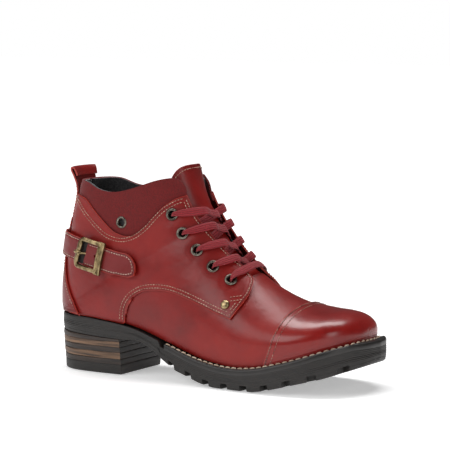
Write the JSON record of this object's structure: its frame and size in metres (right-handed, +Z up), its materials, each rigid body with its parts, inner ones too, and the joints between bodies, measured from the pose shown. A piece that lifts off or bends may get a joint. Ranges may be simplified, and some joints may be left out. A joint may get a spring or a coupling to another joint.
{
  "type": "heeled lace-up ankle boot",
  "caption": "Right-foot ankle boot in red leather with a suede collar, laced front, buckled heel strap, stacked block heel, lugged rubber sole and a zip on the inner side.",
  "frame": {"origin": "on the ground, at the middle of the boot in plan", "axes": "+X to the toe, +Z up, -Y to the outer (lateral) side of a right foot"},
  "size_m": [0.2736, 0.0978, 0.1635],
  "materials": {
    "red_leather": "semi-gloss full grain, red",
    "red_suede": "matte suede, dark red",
    "lining": "short fleece, black",
    "rubber": "matte, very dark brown",
    "stack_tan": "stacked, grained, tan",
    "stack_dark": "stacked, grained, dark brown",
    "antique_brass": "antique, brushed",
    "gunmetal": "antique gunmetal",
    "lace_red": "ribbed flat weave, crimson",
    "steel": "plain",
    "board": "fibre board",
    "foam": "covered foam, black",
    "tape": "woven tape, black"
  },
  "bodies": {
    "boot": {"outsole": "rubber", "welt": "rubber", "heel_top_piece": "rubber", "heel_lift_1": "stack_dark", "heel_lift_3": "stack_dark", "heel_wedge": "stack_dark", "heel_lift_2": "stack_tan", "heel_lift_4": "stack_tan", "heel_nail_1": "steel", "heel_nail_2": "steel", "heel_nail_3": "steel", "heel_nail_4": "steel", "shank": "steel", "insole_board": "board", "toe_puff": "board", "heel_counter": "board", "footbed": "foam", "forefoot_filler": "foam", "vamp": "red_leather", "toe_cap": "red_leather", "quarter_lateral": "red_leather", "quarter_medial": "red_leather", "back_strip": "red_leather", "pull_tab": "red_leather", "heel_strap": "red_leather", "buckle_chape": "red_leather", "tongue": "red_leather", "facing_lining_lateral": "lining", "facing_lining_medial": "lining", "quarter_lining_lateral": "lining", "quarter_lining_medial": "lining", "vamp_lining": "lining", "eyelet_lateral_1": "gunmetal", "eyelet_lateral_2": "gunmetal", "eyelet_lateral_3": "gunmetal", "eyelet_lateral_4": "gunmetal", "eyelet_lateral_5": "gunmetal", "eyelet_medial_1": "gunmetal", "eyelet_medial_2": "gunmetal", "eyelet_medial_3": "gunmetal", "eyelet_medial_4": "gunmetal", "eyelet_medial_5": "gunmetal", "vent_eyelet": "gunmetal", "zip_teeth_front": "gunmetal", "zip_teeth_rear": "gunmetal", "zip_bottom_stop": "gunmetal", "rivet_lateral": "antique_brass", "rivet_medial": "antique_brass", "buckle_frame": "antique_brass", "collar_lateral": "red_suede", "collar_medial_rear": "red_suede", "collar_medial_front": "red_suede", "lace": "lace_red", "zip_tape_front": "tape", "zip_tape_rear": "tape"},
    "zip_slider_body": {"zip_slider": "gunmetal"},
    "zip_pull_body": {"zip_pull": "gunmetal"},
    "buckle_pin_body": {"buckle_pin": "antique_brass"},
    "tongue_top_body": {"tongue_top": "red_leather"}
  },
  "joints": [
    {"name": "zip_run", "type": "slide", "parent": "boot", "child": "zip_slider_body", "axis": [0, 0.021, -0.9998], "range_m": [0, 0.064]},
    {"name": "zip_pull_swing", "type": "hinge", "parent": "zip_slider_body", "child": "zip_pull_body", "pos_m": [-0.07113, 0.03485, 0.13542], "axis": [0.9992, 0.0389, 0.0008], "range_deg": [0, 140]},
    {"name": "buckle_pin_lift", "type": "hinge", "parent": "boot", "child": "buckle_pin_body", "pos_m": [-0.09837, -0.03172, 0.09266], "axis": [0.2756, 0.0052, 0.9612], "range_deg": [0, 8]},
    {"name": "tongue_bend", "type": "hinge", "parent": "boot", "child": "tongue_top_body", "pos_m": [-0.01575, 0, 0.14476], "axis": [0, 1, 0], "range_deg": [0, 14], "stiffness_Nm_per_rad": 0.05}
  ]
}
